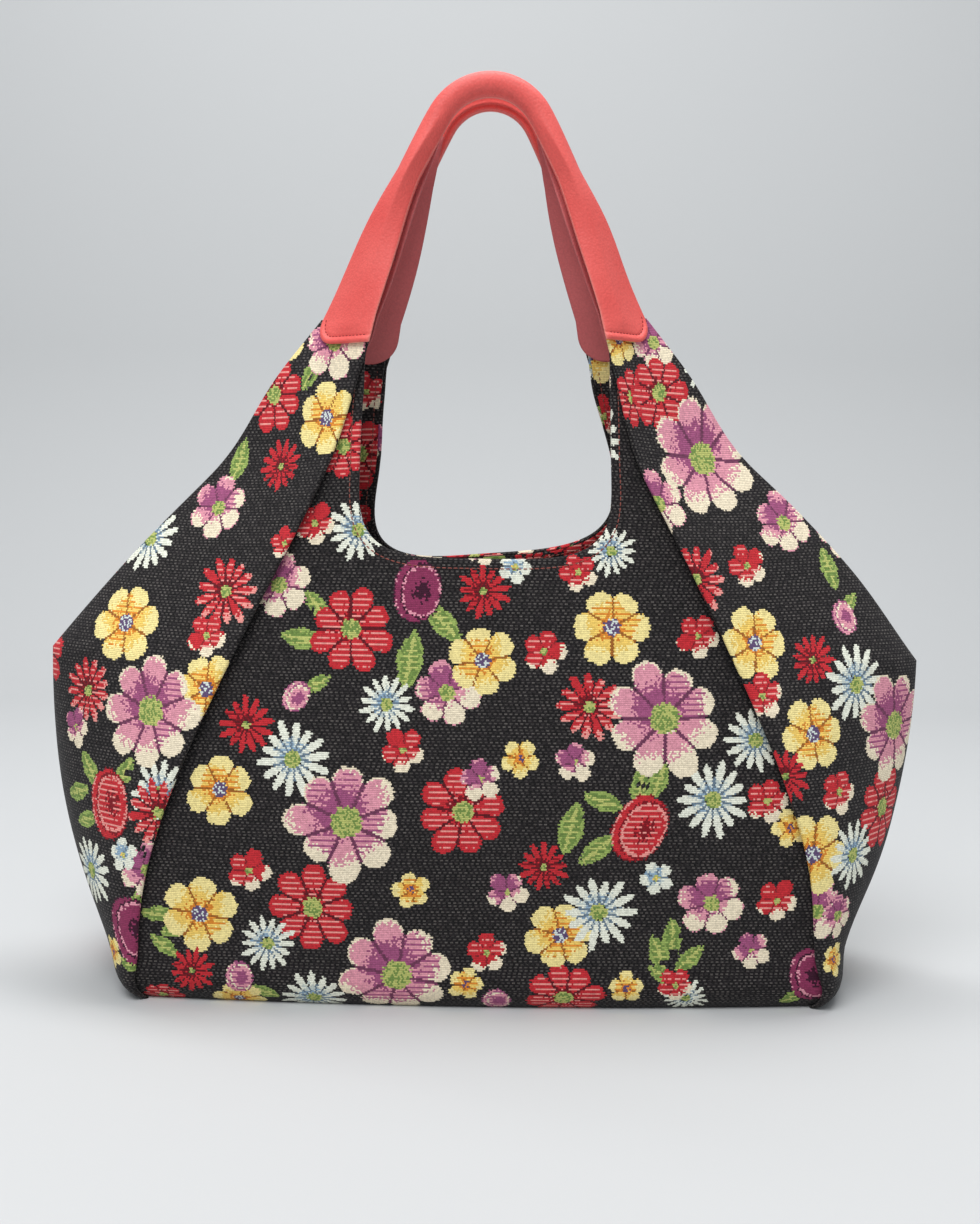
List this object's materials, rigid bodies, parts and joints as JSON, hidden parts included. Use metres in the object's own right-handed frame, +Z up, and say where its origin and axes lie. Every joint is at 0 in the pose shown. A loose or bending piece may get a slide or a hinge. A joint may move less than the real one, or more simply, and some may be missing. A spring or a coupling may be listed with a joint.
{
  "type": "tapestry handbag",
  "caption": "Floral tapestry tote with tucked panels drawn up into ears, a U-shaped mouth, a flat base and padded red leather handles.",
  "frame": {"origin": "middle of the base on the floor", "axes": "+X to the right across the front, the front faces -Y, +Z up"},
  "size_m": [0.48, 0.1316, 0.487],
  "materials": {
    "tapestry": "woven",
    "lining": "plain weave",
    "leather": "grained",
    "cord": "cotton cord",
    "board": "matte sheet",
    "snap": "nickel"
  },
  "bodies": {
    "root": {"front_panel": "tapestry", "back_panel": "tapestry", "base_panel": "tapestry", "front_facing": "tapestry", "back_facing": "tapestry", "front_lining": "lining", "back_lining": "lining", "base_lining": "lining", "slip_pocket": "lining", "front_handle": "leather", "back_handle": "leather", "front_left_backing": "leather", "front_right_backing": "leather", "back_left_backing": "leather", "back_right_backing": "leather", "front_handle_core": "cord", "back_handle_core": "cord", "base_board": "board", "snap_socket": "snap", "snap_stud": "snap", "snap_socket_washer": "snap", "snap_stud_washer": "snap"}
  },
  "joints": []
}
